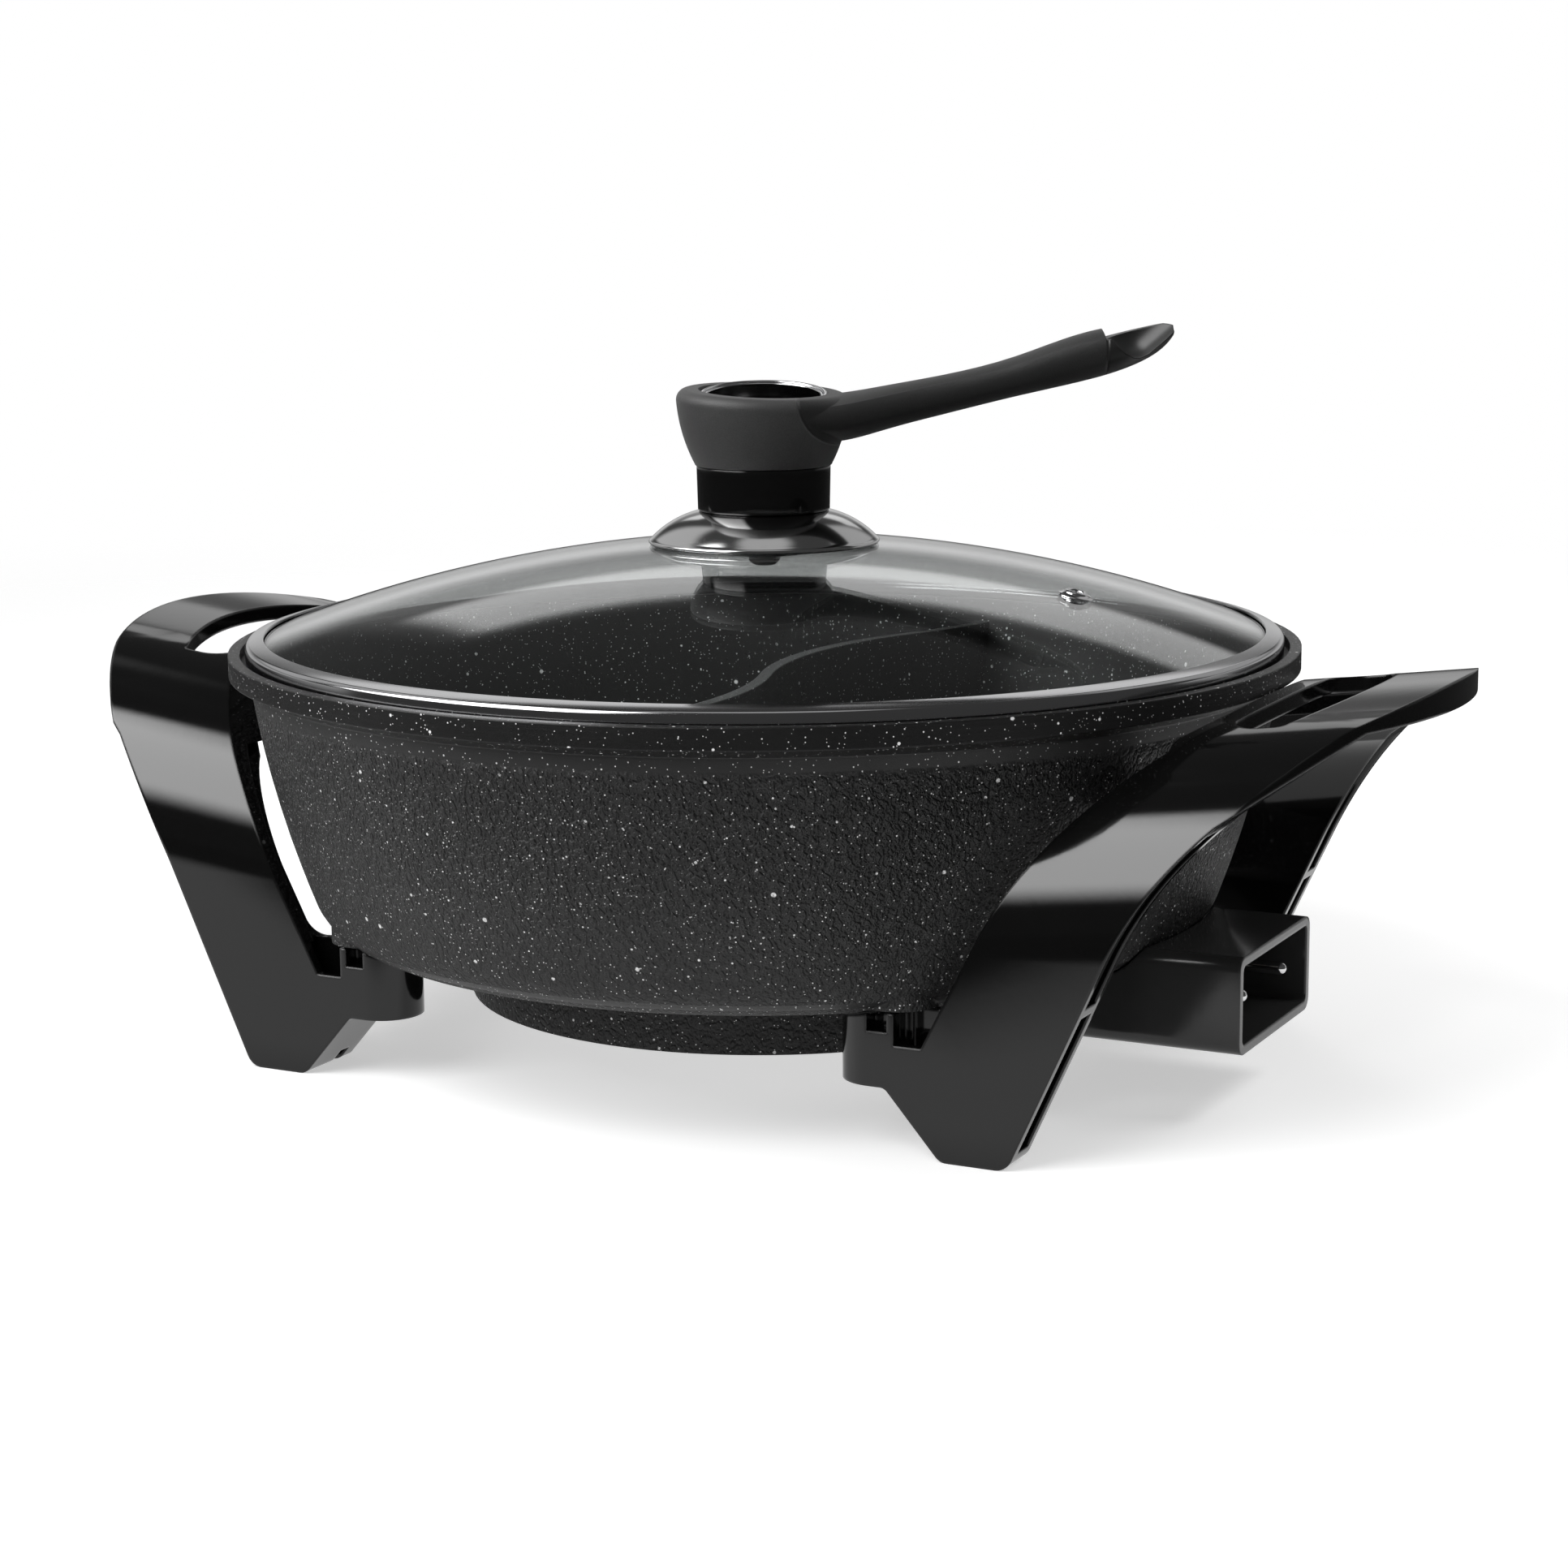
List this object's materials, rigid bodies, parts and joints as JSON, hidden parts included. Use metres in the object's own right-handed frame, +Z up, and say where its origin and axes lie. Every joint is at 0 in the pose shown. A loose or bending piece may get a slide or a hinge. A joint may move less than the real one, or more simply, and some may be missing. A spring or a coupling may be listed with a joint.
{
  "type": "electric hot pot with lid",
  "caption": "Low round electric pan with a wavy divider, two one-piece handle-and-leg arches, a rear plug socket and a lift-off domed glass lid whose knob has a long arm.",
  "frame": {"origin": "centre of the overall box at the height of the feet's soles, on the pan's axis", "axes": "+Z up along the pan's axis, +X towards the handle over the plug socket, +Y to the back as the picture shows it"},
  "size_m": [0.454, 0.34, 0.2295],
  "materials": {
    "pan_coating": "granite-look non-stick coating on cast aluminium, dark grey with white specks",
    "moulding_black": "glossy black heat-resistant moulding",
    "housing_black": "glossy black moulding",
    "screw_steel": "zinc-plated steel",
    "pin_chrome": "bright plated steel",
    "bush_ceramic": "unglazed white ceramic",
    "tube_steel": "drawn stainless tube",
    "spring_steel": "bare spring steel",
    "sheath_metal": "extruded aluminium sheath",
    "shield_steel": "aluminised sheet steel",
    "lid_glass": "clear tempered glass",
    "band_steel": "polished stainless steel",
    "vent_steel": "polished stainless steel",
    "skirt_steel": "polished spun steel",
    "collar_black": "high-gloss black",
    "soft_touch": "soft-touch matte black",
    "trim_chrome": "bright chrome",
    "well_black": "glossy black",
    "silicone": "black silicone"
  },
  "bodies": {
    "pot": {"pan_casting": "pan_coating", "right_handle_leg": "moulding_black", "left_handle_leg": "moulding_black", "handle_screws": "screw_steel", "handle_washers": "screw_steel", "connector_housing": "housing_black", "housing_screws": "screw_steel", "terminal_pin_front": "pin_chrome", "terminal_pin_rear": "pin_chrome", "terminal_bush_front": "bush_ceramic", "terminal_bush_rear": "bush_ceramic", "sensor_guide_tube": "tube_steel", "earth_spring": "spring_steel", "heating_element": "sheath_metal", "heat_shield": "shield_steel", "shield_screws": "screw_steel"},
    "lid": {"lid_glass": "lid_glass", "lid_rim_band": "band_steel", "steam_vent": "vent_steel", "knob_skirt": "skirt_steel", "knob_collar": "collar_black", "knob_handle": "soft_touch", "knob_trim_ring": "trim_chrome", "knob_well_insert": "well_black", "knob_screw": "screw_steel", "knob_washer": "screw_steel", "upper_gasket": "silicone", "lower_gasket": "silicone"}
  },
  "joints": [
    {"name": "lid_lift", "type": "slide", "parent": "pot", "child": "lid", "axis": [0, 0, 1], "range_m": [0, 0.15]}
  ]
}
